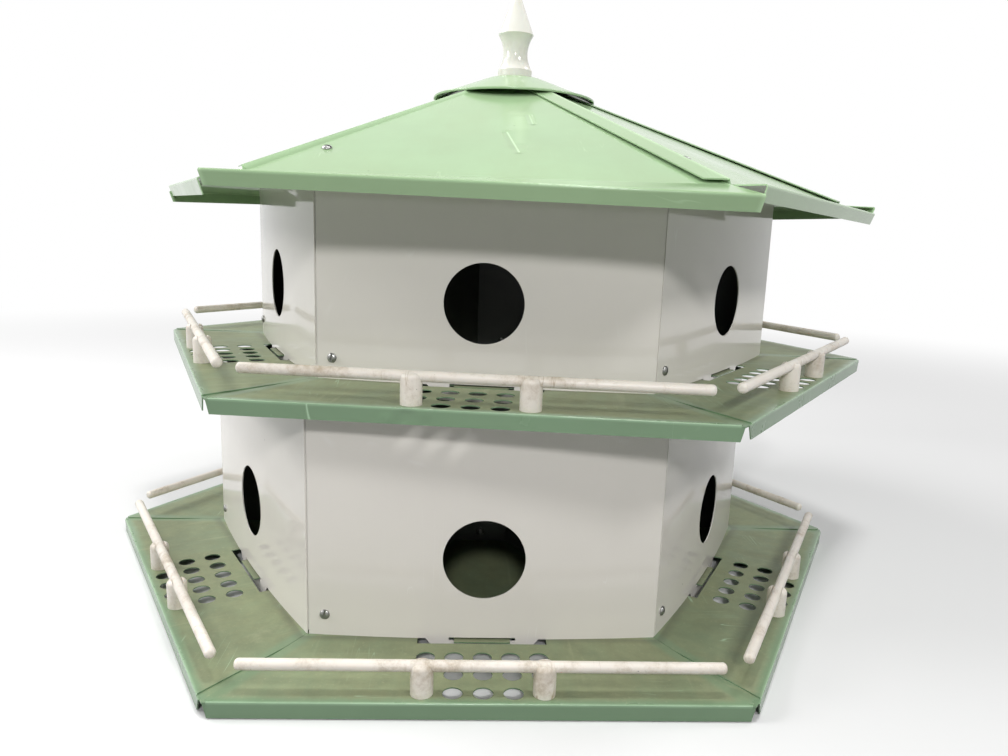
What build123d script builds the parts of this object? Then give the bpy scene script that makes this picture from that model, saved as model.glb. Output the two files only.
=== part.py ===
from build123d import *
import math
import os

# Two-storey, six-sided sheet metal house for purple martins, in millimetres.
# Up is +Z, the front faces -Y, and the origin is under the middle of the lower deck, on what it stands on.

# Sheet metal
sheet = 0.8
seam_gap = 0.3
lap_gap = 0.2
seat_gap = 0.05
cut_depth = 20.0

# Walls
wall_apothem = 201.0
wall_bow = 5.0
wall_height = 152.0
wall_left_gap = 1.5
wall_flange_width = 22.0
wall_flange_setback = 2.0
entrance_radius = 27.0
entrance_height = 56.0

# Tab under each wall, and the tongue of the deck that it hooks over
tab_drop = 10.5
tab_half_width = 37.5
tab_tip_half_width = 28.5
slot_half_width = 22.0
slot_top = 1.0
slot_bottom = -1.3
tongue_half_width = 18.5
tongue_reach = 4.0
cutout_half_width = 42.5
cutout_reach = 6.0
cutout_clearance = 1.0

# Decks
porch_width = 77.0
flange_height = 10.0
bend_radius = 0.6
corner_cut = 3.4
notch_top = 4.0
notch_bottom = 8.8
strip_width = 14.0
strip_root = 4.0
joggle_length = 60.0
joggle_width = 9.0
tooth_top = 0.8
tooth_tip = 3.0
tooth_width = 16.0
tooth_edge = 5.0
vent_radius = 6.0
vent_pitch = 18.0
vent_first_row = 22.5
vent_rows = (5, 5, 3)

# Perch rails
rail_setback = 10.7
rod_radius = 3.45
rod_end_gap = 10.8
rod_end_round = 2.4
rod_height = 17.5
post_radius = 6.75
post_offset = 36.0
post_lip = 2.5
post_round = 3.4
saddle_clearance = 0.1

# Core and partitions
core_apothem = 39.0
core_ledge = 5.0
partition_end_gap = 4.0
partition_top_gap = 0.3

# Roof
eave_overhang = 49.5
rim_width = 26.0
rim_drop = 3.4
rim_skew = 2.75
lip_length = 10.2
lip_lean = 18.0
eave_bend_radius = 1.4
roof_slope = 0.4075
roof_top_apothem = 26.0
cover_width = 13.0
cover_top_gap = 0.4
cover_low_gap = 2.0
fold_width = 3.0
cover_end_gap = 1.0

# Cap and finial
cap_radius = 70.3
cap_top_radius = 24.0
cap_height = 18.5
cap_rim_width = 1.6
cap_bead_radius = 1.0
finial_base_radius = 14.9
finial_base_height = 7.5
finial_base_round = 2.5
finial_neck_radius = 10.6
finial_neck_height = 20.5
finial_shoulder_radius = 15.2
finial_shoulder_height = 37.0
finial_tip_radius = 2.8
finial_tip_height = 69.5

# The upper storey stands loose on the lower one: how far it is turned and pushed out of line
upper_turn = -6.8
upper_shift_x = 20.0
upper_shift_y = 39.0

sides = 6
side_angle = 360.0 / sides
half_angle = math.radians(side_angle / 2)
side_names = ("front", "front_right", "back_right", "back", "back_left", "front_left")

wall_mid_apothem = wall_apothem + wall_bow
deck_apothem = wall_apothem + porch_width
deck_inner = core_apothem - core_ledge
rail_apothem = deck_apothem - rail_setback
fold_apothem = wall_apothem + eave_overhang
eave_apothem = fold_apothem + rim_width
deck_level = max(tab_drop, flange_height)
storey_pitch = wall_height + tab_drop


def half_side(apothem):
    """Half the length of a hexagon's side."""
    return apothem * math.tan(half_angle)


def prism_xz(points, y_from, y_to):
    """A prism along Y from an outline given as (x, z) points."""
    outline = make_face(Polyline(*[(x, y_from, z) for x, z in points], close=True))
    return extrude(outline, amount=y_to - y_from, dir=(0, 1, 0))


def plate(points, z_top, thickness):
    """A flat plate from an outline given as (x, y) points."""
    outline = make_face(Polyline(*[(x, y, z_top) for x, y in points], close=True))
    return extrude(outline, amount=thickness, dir=(0, 0, -1))


def xy(point):
    """The plan place of a point."""
    return point.X, point.Y


def mirrored(points):
    """The points, then the same ones mirrored in X, in the order of a closed outline."""
    return points + [(-x, other) for x, other in reversed(points)]


# Decks


def deck_plate(edge):
    """The flat of one deck segment inside its right-hand edge, with its vents and the cut-out for the tab."""
    flat = plate(mirrored(edge), 0, sheet)
    inner_edge = wall_mid_apothem - sheet - cutout_clearance - bow_drop(cutout_half_width)
    outer_edge = wall_mid_apothem + cutout_reach
    cutout = Pos(0, -(inner_edge + outer_edge) / 2, 0) * Box(
        2 * cutout_half_width, outer_edge - inner_edge, cut_depth
    )
    tongue_end = wall_mid_apothem + tongue_reach
    tongue = plate(
        mirrored([(tongue_half_width, -inner_edge + sheet), (tongue_half_width, -tongue_end)]), 0, sheet
    )
    return flat - cutout - vents() + tongue


def vents():
    """The cutters of one segment's vent holes, in rows from the wall out to the rail's line."""
    first_row = wall_mid_apothem + vent_first_row
    row_pitch = (rail_apothem - first_row) / (len(vent_rows) - 1)
    cutters = []
    for row, count in enumerate(vent_rows):
        apothem = first_row + row * row_pitch
        for i in range(count):
            x = vent_pitch * (i - (count - 1) / 2)
            cutters.append(Pos(x, -apothem, 0) * Cylinder(vent_radius, cut_depth))
    return cutters


def bow_drop(x):
    """How far the bowed wall has come in from its middle, at x along the side."""
    return wall_bow * (x / half_side(wall_apothem)) ** 2


def over_deck():
    """A segment whose ends lie on top of its neighbours' strips."""
    corner = deck_apothem - corner_cut
    length = half_side(deck_apothem) - corner_cut
    edge = [(half_side(deck_inner), -deck_inner), (half_side(corner), -corner), (length, -deck_apothem)]
    flange = Pos(0, -deck_apothem + sheet / 2, -flange_height / 2) * Box(2 * length, sheet, flange_height)
    return rounded_bend(deck_plate(edge) + flange)


def under_deck():
    """A segment with a lowered strip at each end that passes beneath its neighbour."""
    corner = half_side(deck_apothem)
    edge = [
        seam_point(-seam_gap, deck_inner),
        seam_point(-seam_gap, deck_apothem - joggle_length),
        (corner - joggle_width, -deck_apothem),
    ]
    profile = [
        (corner - joggle_width, 0),
        (corner - joggle_width + sheet, -sheet),
        (corner - notch_top, -sheet),
        (corner - notch_bottom, -flange_height),
    ]
    flange = prism_xz(mirrored(profile), -deck_apothem, -deck_apothem + sheet)
    lap = end_strip() + corner_tooth()
    return rounded_bend(deck_plate(edge) + flange) + lap + mirror(lap, about=Plane.YZ)


def seam_point(across, apothem):
    """A plan point beside the right-hand seam: across is positive on the neighbour's side."""
    along = (apothem - abs(across) * math.sin(half_angle)) / math.cos(half_angle)
    return (
        along * math.sin(half_angle) + across * math.cos(half_angle),
        -along * math.cos(half_angle) + across * math.sin(half_angle),
    )


def end_strip():
    """The lowered strip under the right-hand neighbour, out to the corner."""
    near = core_apothem + strip_width
    neighbour_flange = deck_apothem - sheet - lap_gap
    outline = [
        seam_point(-strip_root, near),
        seam_point(-strip_root, deck_apothem - joggle_length),
        seam_point(-joggle_width, deck_apothem - sheet / 2),
        seam_point(0, neighbour_flange),
        seam_point(strip_width, neighbour_flange),
        seam_point(strip_width, near),
    ]
    return plate(outline, -sheet, sheet)


def corner_tooth():
    """The pointed tooth that bends down from the strip behind the right-hand neighbour's flange."""
    corner = -half_side(deck_apothem)
    profile = [
        (corner + tooth_top, -sheet),
        (corner + tooth_width, -sheet),
        (corner + tooth_width, -tooth_edge),
        (corner + tooth_tip, -flange_height),
    ]
    outer = -deck_apothem + sheet + lap_gap
    return Rot(0, 0, side_angle) * prism_xz(profile, outer, outer + sheet)


def rounded_bend(segment):
    """Rounds the outer bend between the flat of a segment and its flange."""
    edges = segment.edges().filter_by(Axis.X).filter_by_position(Axis.Z, -0.01, 0.01)
    return fillet(edges.sort_by(Axis.Y)[0], bend_radius)


# Walls


def wall_arc(inset):
    """The end, middle and other end of the bowed wall's face, moved inwards by inset."""
    half = half_side(wall_apothem)
    radius = (half**2 + wall_bow**2) / (2 * wall_bow)
    scale = (radius - inset) / radius
    centre_y = radius - wall_mid_apothem
    start = Vector(-half, centre_y + (-wall_apothem - centre_y) * scale)
    return (
        (start.X * scale, start.Y),
        (0, -wall_mid_apothem + inset),
        (half * scale, start.Y),
    )


def wall_panel():
    """A bowed panel with its entrance, its slotted tab and the flange round its right-hand corner."""
    outer, inner = wall_arc(0), wall_arc(sheet)
    outline = make_face(
        ThreePointArc(*outer)
        + Line(outer[2], inner[2])
        + ThreePointArc(*inner)
        + Line(inner[0], outer[0])
    )
    panel = extrude(outline, amount=wall_height + tab_drop, dir=(0, 0, 1))
    panel = Pos(0, 0, -tab_drop) * panel
    half = half_side(wall_apothem)
    below = -2 * tab_drop
    for hand in (1, -1):
        waste = [
            (hand * tab_half_width, 0),
            (hand * tab_tip_half_width, -tab_drop),
            (hand * tab_tip_half_width, below),
            (hand * 2 * half, below),
            (hand * 2 * half, 0),
        ]
        panel -= prism_xz(waste, -wall_mid_apothem - cut_depth, -wall_apothem + cut_depth)
    panel -= Pos(-half, -wall_apothem, 0) * Box(2 * wall_left_gap, cut_depth, 4 * wall_height)
    panel += corner_flange()
    panel -= Pos(0, -wall_mid_apothem, entrance_height) * Rot(90, 0, 0) * Cylinder(entrance_radius, cut_depth)
    slot_middle = Pos(0, -wall_mid_apothem, (slot_top + slot_bottom) / 2)
    return panel - slot_middle * Box(2 * slot_half_width, cut_depth, slot_top - slot_bottom)


def corner_flange():
    """The flange that turns the corner and lies behind the next panel."""
    half = half_side(wall_apothem)
    corner = Vector(half, -wall_apothem)
    turn = math.radians(side_angle)
    along = Vector(math.cos(turn), math.sin(turn))
    outward = Vector(math.sin(turn), -math.cos(turn))
    face = corner - outward * (sheet + lap_gap)
    back = face - outward * sheet
    outer_end, inner_end = wall_arc(0)[2], wall_arc(sheet)[2]
    bend = [
        (outer_end[0] - sheet, outer_end[1]),
        xy(face + along * sheet),
        xy(face + along * wall_flange_width),
        xy(back + along * wall_flange_width),
        xy(back),
        (inner_end[0] - sheet, inner_end[1]),
    ]
    height = wall_height - 2 * wall_flange_setback
    return plate(bend, wall_height - wall_flange_setback, height)


# Core and partitions


def core():
    """The six-sided tube round the pole, the back wall of every room."""
    outer = RegularPolygon(core_apothem, sides, major_radius=False)
    inner = RegularPolygon(core_apothem - sheet, sides, major_radius=False)
    return extrude(outer - inner, amount=wall_height - partition_top_gap)


def partitions():
    """The six sheets between the rooms, from the core to the corners of the walls."""
    start = core_apothem / math.cos(half_angle)
    end = wall_apothem / math.cos(half_angle) - partition_end_gap
    height = wall_height - partition_top_gap - seat_gap
    one = Pos((start + end) / 2, 0, seat_gap + height / 2) * Box(end - start, sheet, height)
    return Compound(children=[Rot(0, 0, side_angle * k) * one for k in range(sides)])


# Perch rails


def rods():
    """The six perch rods of one storey."""
    length = 2 * (half_side(rail_apothem) - rod_end_gap)
    one = Rot(0, 90, 0) * Cylinder(rod_radius, length)
    one = Pos(0, -rail_apothem, rod_height) * fillet(one.edges(), rod_end_round)
    return Compound(children=[Rot(0, 0, side_angle * k) * one for k in range(sides)])


def posts():
    """The twelve posts of one storey, each with a saddle for the rod in its domed top."""
    top = rod_height + post_lip
    post = Pos(0, 0, (top + seat_gap) / 2) * Cylinder(post_radius, top - seat_gap)
    post = fillet(post.edges().sort_by(Axis.Z)[-1], post_round)
    saddle = rod_radius + saddle_clearance
    post -= Pos(0, 0, rod_height) * Rot(0, 90, 0) * Cylinder(saddle, 4 * post_radius)
    post -= Pos(0, 0, rod_height + saddle) * Box(4 * post_radius, 2 * saddle, 2 * saddle)
    pair = [Pos(hand * post_offset, -rail_apothem, 0) * post for hand in (-1, 1)]
    return Compound(children=[Rot(0, 0, side_angle * k) * one for k in range(sides) for one in pair])


# Roof

roof_pitch = math.atan(roof_slope)
ridge_pitch = math.atan(roof_slope * math.cos(half_angle))
fold_slope = roof_slope * math.sin(half_angle) * math.cos(ridge_pitch)
roof_apex = wall_height + wall_mid_apothem * roof_slope + sheet / math.cos(roof_pitch)
roof_normal = Vector(0, -math.sin(roof_pitch), math.cos(roof_pitch))


def on_roof(x, apothem):
    """A point on the outer face of the front roof panel."""
    return Vector(x, -apothem, roof_apex - roof_slope * apothem)


def sheet_from(points, direction):
    """One thickness of sheet behind an outline of points in space."""
    return extrude(make_face(Polyline(*points, close=True)), amount=sheet, dir=direction)


def sector():
    """The space between the two ridges of a panel, with a gap at each."""
    margin = seam_gap / math.cos(half_angle)
    near, far = roof_top_apothem, 2 * eave_apothem
    edge = [(half_side(apothem) - margin, -apothem) for apothem in (near, far)]
    return plate(mirrored(edge), 2 * roof_apex, 2 * roof_apex)


def eave_section(x):
    """The rim and lip in section at x: its left-hand end stands higher than its right-hand one."""
    lift = -rim_skew * x / half_side(eave_apothem)
    lean = math.radians(lip_lean)
    fold = on_roof(x, fold_apothem)
    corner = Vector(x, -eave_apothem, fold.Z - rim_drop + lift)
    along_rim = (corner - fold).normalized()
    along_lip = Vector(0, math.sin(lean), -math.cos(lean))
    under_rim = Vector(0, -along_rim.Z, along_rim.Y)
    inside_lip = Vector(0, -along_lip.Z, along_lip.Y)
    inner_corner = corner + (under_rim + inside_lip) * (sheet / (1 + under_rim.dot(inside_lip)))
    tip = corner + along_lip * lip_length
    inner_tip = tip + inside_lip * sheet
    inner_fold = fold - roof_normal * sheet
    outer = FilletPolyline(*[(p.Y, p.Z) for p in (fold, corner, tip)], radius=eave_bend_radius)
    inner = FilletPolyline(
        *[(p.Y, p.Z) for p in (inner_fold, inner_corner, inner_tip)], radius=eave_bend_radius - sheet
    )
    ends = [Line(outer @ end, inner @ end) for end in (0, 1)]
    return Plane.YZ.offset(x) * make_face(outer.edges() + inner.edges() + ends)


def roof_panel():
    """A slope with a flatter rim and a hanging lip along the eave, and a cover over its left-hand ridge."""
    reach = half_side(eave_apothem)
    slope = sheet_from(
        [
            on_roof(-reach, roof_top_apothem),
            on_roof(reach, roof_top_apothem),
            on_roof(reach, fold_apothem),
            on_roof(-reach, fold_apothem),
        ],
        -roof_normal,
    )
    eave = loft([eave_section(-reach), eave_section(reach)], ruled=True)
    return ((slope + eave) & sector()) + ridge_cover()


def cover_gap(radius):
    """The gap under the ridge cover, which widens towards the eave."""
    share = (radius * math.cos(half_angle) - roof_top_apothem) / (fold_apothem - roof_top_apothem)
    return cover_top_gap + share * (cover_low_gap - cover_top_gap)


def ridge_cover():
    """The strip along the left-hand ridge, folded over the neighbour."""
    own_side = Vector(math.cos(half_angle), -math.sin(half_angle), 0)
    down = Vector(
        -math.sin(half_angle) * math.cos(ridge_pitch),
        -math.cos(half_angle) * math.cos(ridge_pitch),
        -math.sin(ridge_pitch),
    )
    sections = []
    for apothem in (roof_top_apothem, fold_apothem):
        radius = apothem / math.cos(half_angle)
        gap = cover_gap(radius)
        origin = Vector(0, 0, roof_apex) + down * (radius / math.cos(ridge_pitch))
        plane = Plane(origin=origin, x_dir=own_side, z_dir=down)
        up_sign = 1 if plane.y_dir.Z > 0 else -1
        profile = [
            (-cover_width, gap - cover_width * fold_slope),
            (-cover_width, gap + sheet - cover_width * fold_slope),
            (0, gap + sheet),
            (fold_width, -fold_width * fold_slope),
            (fold_width, -fold_width * fold_slope - sheet / 2),
            (seam_gap, -seam_gap * fold_slope - sheet / 2),
            (seam_gap, gap),
            (0, gap),
        ]
        sections.append(plane * make_face(Polyline(*[(u, up_sign * v) for u, v in profile], close=True)))
    limit = fold_apothem - cover_end_gap
    beyond = Pos(0, -limit - rim_width, 0) * Box(2 * eave_apothem, 2 * rim_width, 4 * roof_apex)
    return loft(sections, ruled=True) - beyond - Rot(0, 0, -side_angle) * beyond


# Cap and finial

cap_rim_inside = cap_radius - cap_rim_width
cap_seat = (
    roof_apex
    - cap_rim_inside * math.cos(half_angle) * roof_slope
    + (cover_gap(cap_rim_inside) + sheet) / math.cos(ridge_pitch)
)


def roof_cap():
    """The hollow round cap over the top of the roof."""
    section = make_face(
        Polyline(
            (cap_radius, 0, 0),
            (cap_radius, 0, sheet),
            (cap_top_radius, 0, cap_height),
            (0, 0, cap_height),
            (0, 0, cap_height - sheet),
            (cap_top_radius - sheet / 2, 0, cap_height - sheet),
            (cap_rim_inside, 0, 0),
            close=True,
        )
    )
    bead_centre = cap_radius - cap_bead_radius
    bead = Plane.XZ * Pos(bead_centre, cap_bead_radius) * Circle(cap_bead_radius)
    return Pos(0, 0, cap_seat) * (revolve(section, Axis.Z) + revolve(bead, Axis.Z))


def finial():
    """The turned plastic finial, with a rounded foot and tip."""
    shoulder = (finial_shoulder_radius, 0, finial_shoulder_height)
    waist = Spline(
        (finial_base_radius, 0, finial_base_height), (finial_neck_radius, 0, finial_neck_height), shoulder
    )
    cone = Line(shoulder, (finial_tip_radius, 0, finial_tip_height))
    top = finial_tip_height + finial_tip_radius
    diagonal = finial_tip_radius * math.sqrt(0.5)
    tip = ThreePointArc(
        (finial_tip_radius, 0, finial_tip_height), (diagonal, 0, finial_tip_height + diagonal), (0, 0, top)
    )
    outline = (
        Line((0, 0, 0), (finial_base_radius, 0, 0))
        + Line((finial_base_radius, 0, 0), (finial_base_radius, 0, finial_base_height))
        + waist
        + cone
        + tip
        + Line((0, 0, top), (0, 0, 0))
    )
    turned = revolve(make_face(outline), Axis.Z)
    foot = turned.edges().filter_by(GeomType.CIRCLE).sort_by(Axis.Z)[0]
    return Pos(0, 0, cap_seat + cap_height) * fillet(foot, finial_base_round)


# Putting the storeys together

lower = Pos(0, 0, deck_level)
upper = Pos(upper_shift_x, upper_shift_y, deck_level + storey_pitch) * Rot(0, 0, upper_turn)

pieces = {}
deck_forms = (over_deck(), under_deck())
wall_form = wall_panel()
roof_form = roof_panel()

for storey, place in (("lower", lower), ("upper", upper)):
    for k, side in enumerate(side_names):
        turned = place * Rot(0, 0, side_angle * k)
        pieces[f"{storey}_deck_{side}"] = turned * deck_forms[k % 2]
        pieces[f"{storey}_wall_{side}"] = turned * wall_form
    pieces[f"{storey}_partitions"] = place * partitions()
    pieces[f"{storey}_core"] = place * core()
    pieces[f"{storey}_perch_rods"] = place * rods()
    pieces[f"{storey}_perch_posts"] = place * posts()

for k, side in enumerate(side_names):
    pieces[f"roof_panel_{side}"] = upper * Rot(0, 0, side_angle * k) * roof_form
pieces["roof_cap"] = upper * roof_cap()
pieces["finial"] = upper * finial()

os.makedirs("parts", exist_ok=True)
for name, piece in pieces.items():
    export_step(piece, f"parts/{name}.step")
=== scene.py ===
"""Dresses a two-storey martin house: paint, dust, plastic rails, screws, floor, lamps and camera."""

import math

import bmesh
import bpy
from bpy.props import FloatProperty, FloatVectorProperty, PointerProperty
from mathutils import Matrix, Vector
from mathutils.bvhtree import BVHTree


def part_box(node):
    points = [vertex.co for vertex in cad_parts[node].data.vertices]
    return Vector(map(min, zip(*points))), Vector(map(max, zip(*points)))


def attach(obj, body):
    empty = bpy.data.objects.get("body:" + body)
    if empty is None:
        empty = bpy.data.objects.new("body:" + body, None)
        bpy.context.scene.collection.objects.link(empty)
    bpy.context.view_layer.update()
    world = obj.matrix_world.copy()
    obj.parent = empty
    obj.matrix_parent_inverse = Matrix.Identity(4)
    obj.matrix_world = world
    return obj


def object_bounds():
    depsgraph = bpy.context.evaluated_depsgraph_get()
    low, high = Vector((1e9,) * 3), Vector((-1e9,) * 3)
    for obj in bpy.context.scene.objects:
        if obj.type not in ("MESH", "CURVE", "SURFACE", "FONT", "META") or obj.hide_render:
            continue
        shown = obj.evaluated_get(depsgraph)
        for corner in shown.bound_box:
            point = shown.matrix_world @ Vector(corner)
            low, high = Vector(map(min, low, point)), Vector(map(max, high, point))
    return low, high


bl_info = {
    "name": "Martin House Finish",
    "version": (1, 0, 0),
    "blender": (4, 5, 0),
    "location": "3D View > Sidebar > Martin House",
    "description": "Paints a martin house, adds its screws and sets its stage",
    "category": "Object",
}

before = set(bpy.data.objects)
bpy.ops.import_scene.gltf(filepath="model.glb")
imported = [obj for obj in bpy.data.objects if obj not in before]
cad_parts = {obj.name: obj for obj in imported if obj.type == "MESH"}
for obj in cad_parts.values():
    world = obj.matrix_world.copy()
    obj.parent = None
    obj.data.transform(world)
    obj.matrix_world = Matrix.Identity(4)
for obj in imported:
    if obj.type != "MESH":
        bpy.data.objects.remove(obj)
cad_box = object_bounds()

MM = 0.001
SIDE_NAMES = ("front", "front_right", "back_right", "back", "back_left", "front_left")
SIDE_ANGLE = math.tau / len(SIDE_NAMES)
STOREYS = ("lower", "upper")

# Screw heads: steps round the head and up its dome, the rim's height as a share of the whole height, and how
# far the head reaches into the sheet.
HEAD_STEPS = 32
DOME_STEPS = 6
RIM_SHARE = 0.22
HEAD_SINK = 0.3 * MM
# How far each slot is turned, in degrees, taken in turn round the house.
WALL_SLOT_TURNS = (-8, 3, 14)
ROOF_SLOT_TURNS = (70, 45, 20, -5, -30, -55)
CORE_SLOT_TURN = 30
SHARP_EDGE = math.radians(40)
# Metres within which corners are merged, and within which a cut takes a corner that it passes.
MERGE_DISTANCE = 1e-6
CUT_TOLERANCE = 1e-7

FLOOR_GAP = 0.2 * MM
LAMP_AIM = Vector((0.0, 0.0, 0.2))
LAMP_DISTANCE = 2.2
# Lamps: degrees to the right of the house's front, degrees up, size in metres, power in watts.
LAMPS = {
    "lamp_front": (-1.5, 26.0, 0.22, 16.0),
    "lamp_right": (40.0, 40.0, 0.35, 13.0),
    "lamp_left": (-80.0, 26.0, 0.8, 19.5),
    "lamp_high": (-110.0, 46.0, 1.2, 26.0),
    "lamp_top": (20.0, 84.0, 0.28, 18.0),
    "lamp_back": (118.0, 52.0, 0.6, 9.0),
}

# How dull each finish is: 0 is a mirror, 1 is chalk.
DULLNESS = {
    "roof": 0.13,
    "deck": 0.22,
    "wall": 0.05,
    "inner": 0.40,
    "rail": 0.36,
    "finial": 0.12,
    "zinc": 0.28,
}
# Noise seeds of the sheets: the first, the step from storey to storey and the step from side to side.
SHEET_SEEDS = {"roof": (0.0, 0.0, 1.7), "deck": (20.0, 9.1, 1.3), "wall": (50.0, 12.7, 1.9)}
# Noise seeds of the other finishes.
SEEDS = {"cap": 14.0, "inner": 80.0, "rail": 90.0, "finial": 95.0, "zinc": 110.0}
FINIAL_STAIN = 0.12

# Sockets of Blender's mix node: the share and what it mixes, and then the result.
COLOUR_MIX = ((0, 6, 7), 2)
NUMBER_MIX = ((0, 2, 3), 0)

# Dents: start and end in metres, radius and depth in millimetres; a depth below zero makes a bump.
DENTS = {
    "upper_deck_front": (
        ((-0.0500, -0.2325, 0.1685), (-0.0500, -0.2325, 0.1660), 8.0, 1.6),
        ((-0.0610, -0.2313, 0.1655), (-0.0610, -0.2313, 0.1655), 6.0, -0.8),
        ((-0.0385, -0.2338, 0.1705), (-0.0385, -0.2338, 0.1705), 7.0, -0.8),
    ),
    "roof_panel_front": (
        ((0.0087, -0.1237, 0.3434), (0.0152, -0.1659, 0.3267), 5.0, 0.5),
        ((0.0261, -0.0830, 0.3610), (0.0276, -0.1057, 0.3516), 4.0, 0.4),
        ((0.0185, -0.0826, 0.3603), (0.0160, -0.1500, 0.3325), 13.0, 0.5),
    ),
}
# Painted highlights along creases and on a creased facet: start and end in metres, half width in millimetres,
# how clearly it shows.
CREASE_HIGHLIGHTS = {
    "roof_panel_front": (
        ((0.0087, -0.1237, 0.3434), (0.0152, -0.1659, 0.3267), 1.1, 0.9),
        ((0.0261, -0.0830, 0.3610), (0.0276, -0.1057, 0.3516), 1.0, 0.6),
        ((0.0185, -0.0826, 0.3603), (0.0178, -0.1120, 0.3485), 12.0, 0.17),
        ((0.0180, -0.0900, 0.3573), (0.0162, -0.1450, 0.3352), 7.0, 0.17),
    ),
}


# Sizes and colours


def colour_property(name, description, default):
    """A colour that the user can change."""
    return FloatVectorProperty(
        name=name, description=description, default=default, subtype="COLOR", size=3, min=0.0, max=1.0
    )


def length_property(name, description, default):
    """A length in metres that the user can change."""
    return FloatProperty(name=name, description=description, default=default, min=0.0, unit="LENGTH")


def angle_property(name, description, default):
    """An angle that the user can change, given in degrees."""
    return FloatProperty(name=name, description=description, default=math.radians(default), unit="ROTATION")


def share_property(name, description, default):
    """A share between 0 and 1 that the user can change."""
    return FloatProperty(
        name=name, description=description, default=default, min=0.0, max=1.0, subtype="FACTOR"
    )


class HouseColours(bpy.types.PropertyGroup):
    """Colours of the paint, the plastic and the dirt on them, and two dark greys that paint the shade inside
    the house.
    """

    roof_green: colour_property("Roof green", "Mint paint of the roof and its cap", (0.31, 0.46, 0.255))
    deck_green: colour_property("Deck green", "Paint of the decks", (0.17, 0.275, 0.16))
    wall_white: colour_property("Wall white", "Paint of the outer walls", (0.79, 0.755, 0.705))
    # The back coat is made dark as painted shade of the rooms inside.
    back_coat: colour_property("Back coat and shade", "Thin coat on the back of the wall sheets", (0.20, 0.20, 0.19))
    # Dark grey of the partitions and cores: painted shade of the rooms inside.
    inner_grey: colour_property("Inner grey", "Coat of the partitions and the core", (0.17, 0.175, 0.17))
    rail_white: colour_property("Rail white", "Plastic of the rods and posts", (0.80, 0.745, 0.67))
    finial_white: colour_property("Finial white", "Plastic of the finial", (0.76, 0.75, 0.69))
    zinc: colour_property("Zinc", "Metal of the screws", (0.33, 0.33, 0.32))
    dust: colour_property("Dust", "Dry dust that lies on level sheets", (0.255, 0.262, 0.145))
    stain: colour_property("Stain", "Brown smears on the rails", (0.38, 0.29, 0.18))
    # Also darkens the decks at the walls' foot, as painted shade with dust.
    grime: colour_property("Grime", "Dark specks", (0.07, 0.06, 0.045))


class HouseWear(bpy.types.PropertyGroup):
    """How much dust and wear the house shows, and how strong the painted highlights on its bends are."""

    deck_dust: share_property("Deck dust", "How thickly dust covers the decks", 0.80)
    roof_dust: share_property("Roof dust", "How thickly dust covers the roof", 0.16)
    deck_wipes: share_property("Deck wipes", "How strongly wiped marks show in the decks' dust", 0.55)
    rail_stain: share_property("Rail stain", "How strongly smears mark the rails", 0.8)
    specks: share_property("Specks", "How strongly small specks show", 0.5)
    scratches: share_property("Scratches", "How strongly fine scratches show", 0.5)
    # Strength of the painted highlight along the bends of the green sheets.
    rubbed_bends: share_property("Bend highlights", "How pale the bends of the green sheets are", 0.55)


class HouseForm(bpy.types.PropertyGroup):
    """Sizes of the house that the patterns on its sheets follow."""

    upper_turn: angle_property("Upper turn", "How far the upper storey is turned", -6.8)
    deck_reach: length_property("Deck reach", "From the pole to a deck's outer face", 278.0 * MM)
    roof_reach: length_property("Roof reach", "From the pole to the roof's outer bend", 276.5 * MM)
    wall_reach: length_property("Wall reach", "From the pole to the foot of a wall", 205.0 * MM)


class HouseScrews(bpy.types.PropertyGroup):
    """Sizes and places of the slotted screws."""

    head_diameter: length_property("Head diameter", "Across a screw's head", 6.8 * MM)
    head_height: length_property("Head height", "From the sheet to the top of the head", 2.0 * MM)
    slot_width: length_property("Slot width", "Across the slot", 1.25 * MM)
    slot_depth: length_property("Slot depth", "Depth of the slot", 1.3 * MM)
    wall_inset: length_property("Wall inset", "From a wall's middle to its screw", 104.0 * MM)
    wall_rise: length_property("Wall rise", "From the deck to a wall's screw", 14.5 * MM)
    roof_inset: length_property("Roof inset", "From a roof panel's middle line to its screw", 104.8 * MM)
    roof_reach: length_property("Roof screw reach", "From the pole to a roof panel's screw", 206.4 * MM)
    core_rise: length_property("Core rise", "From the deck to the core's screw", 8.0 * MM)
    dimple_radius: length_property("Dimple radius", "Radius of the dimple round a roof screw", 13.0 * MM)
    dimple_depth: length_property("Dimple depth", "Depth of the dimple round a roof screw", 0.7 * MM)


class HouseStage(bpy.types.PropertyGroup):
    """Camera, lamps and floor."""

    lens: FloatProperty(name="Lens", description="Focal length in millimetres", default=27.94, min=1.0)
    camera_place: FloatVectorProperty(
        name="Camera place",
        description="Where the camera stands",
        default=(-0.0125, -0.6826, 0.2798),
        unit="LENGTH",
    )
    camera_turn: angle_property("Camera turn", "Degrees to the right of straight ahead", 2.55)
    camera_dip: angle_property("Camera dip", "Degrees below the horizon", 10.96)
    camera_roll: angle_property("Camera roll", "Degrees that the camera leans to its right", 1.95)
    floor_shade: share_property("Floor shade", "How pale the floor looks", 0.78)
    floor_bounce: share_property("Floor bounce", "How much light the floor throws back up at the house", 0.30)
    floor_size: length_property("Floor size", "Side of the floor", 16.0)
    floor_fade: length_property("Floor fade", "Distance at which the floor starts to pale", 0.7)
    room_light: share_property("Room light", "Strength of the light from all round", 0.12)


# Shader helpers


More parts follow.
